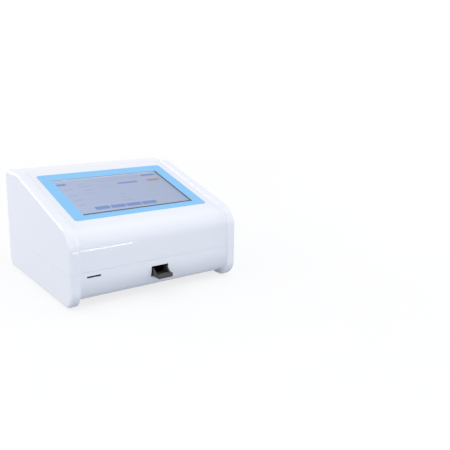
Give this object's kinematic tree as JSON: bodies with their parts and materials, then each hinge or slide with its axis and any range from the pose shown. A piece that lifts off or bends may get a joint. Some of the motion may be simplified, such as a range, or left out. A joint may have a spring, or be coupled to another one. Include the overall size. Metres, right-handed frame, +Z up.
{
  "type": "fluorescence immunoassay analyzer",
  "caption": "Benchtop reader with a sloped touch screen, proud side cheeks, a motor-driven test tray at the front, a card slot, and sockets and a rocker switch on the rear panel.",
  "frame": {"origin": "on the table, under the middle of the box round the whole unit with its tray at rest", "axes": "+Z up, +X to the right of someone facing the screen, the tray comes out towards -Y"},
  "size_m": [0.26, 0.265, 0.155],
  "materials": {
    "casing_white": "moulded ABS, glossy white",
    "membrane_blue": "printed polyester film, sky blue",
    "touch_glass": "clear touch glass",
    "display": "display panel, grey blue",
    "plated_steel": "zinc plated sheet",
    "screw_steel": "nickel plated screws",
    "tray_grey": "moulded, satin grey",
    "liner_black": "moulded, matt black",
    "spring_steel": "rolled spring steel",
    "ground_steel": "ground and polished",
    "bush_bronze": "sintered bronze",
    "gear_acetal": "moulded acetal, natural",
    "board_green": "glass laminate with green solder mask",
    "part_black": "moulded, black",
    "socket_steel": "tin plated shell",
    "sink_aluminium": "extruded, plain",
    "cell_steel": "stainless, bright",
    "optics_black": "machined, black anodised",
    "lens_glass": "ground optical glass",
    "filter_glass": "coated filter glass",
    "mirror_coat": "dichroic coating",
    "foot_rubber": "moulded, black",
    "rear_grey": "powder coated, light grey",
    "ribbon_white": "flat flexible lead",
    "lamp_resin": "clear violet resin"
  },
  "bodies": {
    "casing": {"bridge_plate": "plated_steel", "bridge_posts": "ground_steel", "bridge_screws": "screw_steel", "card_board": "board_green", "card_contact_springs": "spring_steel", "card_socket": "part_black", "casing_screws": "screw_steel", "chassis_screws": "screw_steel", "code_reader": "part_black", "coin_cell": "cell_steel", "coin_cell_holder": "part_black", "condenser_lens": "lens_glass", "detector_board": "board_green", "detector_cover": "plated_steel", "dichroic_mirror": "mirror_coat", "display_board": "board_green", "display_frame": "plated_steel", "display_module": "display", "display_ribbon": "ribbon_white", "display_screws": "screw_steel", "emission_filter": "filter_glass", "excitation_filter": "filter_glass", "guide_rods": "ground_steel", "lamp_board": "board_green", "light_detector": "part_black", "lower_casing": "casing_white", "mainboard": "board_green", "mechanism_chassis": "plated_steel", "motor_lead": "ribbon_white", "network_socket": "socket_steel", "objective_lens": "lens_glass", "optics_housing": "optics_black", "power_board": "board_green", "power_socket": "part_black", "processor_heat_sink": "sink_aluminium", "rear_panel": "rear_grey", "rod_blocks": "part_black", "rubber_feet": "foot_rubber", "screen_membrane": "membrane_blue", "serial_socket": "part_black", "short_screws": "screw_steel", "speaker": "part_black", "stepper_motor": "plated_steel", "switch_body": "part_black", "touch_glass": "touch_glass", "tray_mouth_liner": "liner_black", "tray_sensors": "part_black", "upper_casing": "casing_white", "usb_socket": "socket_steel", "uv_lamp": "lamp_resin"},
    "tray": {"test_tray": "tray_grey", "tray_clips": "spring_steel", "tray_carriage": "part_black", "tray_bushes": "bush_bronze", "tray_rack": "gear_acetal", "tray_flag": "spring_steel"},
    "pinion": {"drive_pinion": "gear_acetal", "motor_shaft": "ground_steel"},
    "rocker": {"power_rocker": "part_black"}
  },
  "joints": [
    {"name": "tray_slide", "type": "slide", "parent": "casing", "child": "tray", "axis": [0, -1, 0], "range_m": [-0.024, 0.042]},
    {"name": "pinion_spin", "type": "hinge", "parent": "casing", "child": "pinion", "pos_m": [0.0367, -0.0335, 0.03], "axis": [0, 0, 1], "range_deg": [-191, 334.3]},
    {"name": "rocker_press", "type": "hinge", "parent": "casing", "child": "rocker", "pos_m": [0.072, 0.1221, 0.07], "axis": [1, 0, 0], "range_deg": [0, 16]}
  ],
  "couplings": [
    {"joint": "pinion_spin", "follows": "tray_slide", "rad_per_m": 138.89}
  ]
}
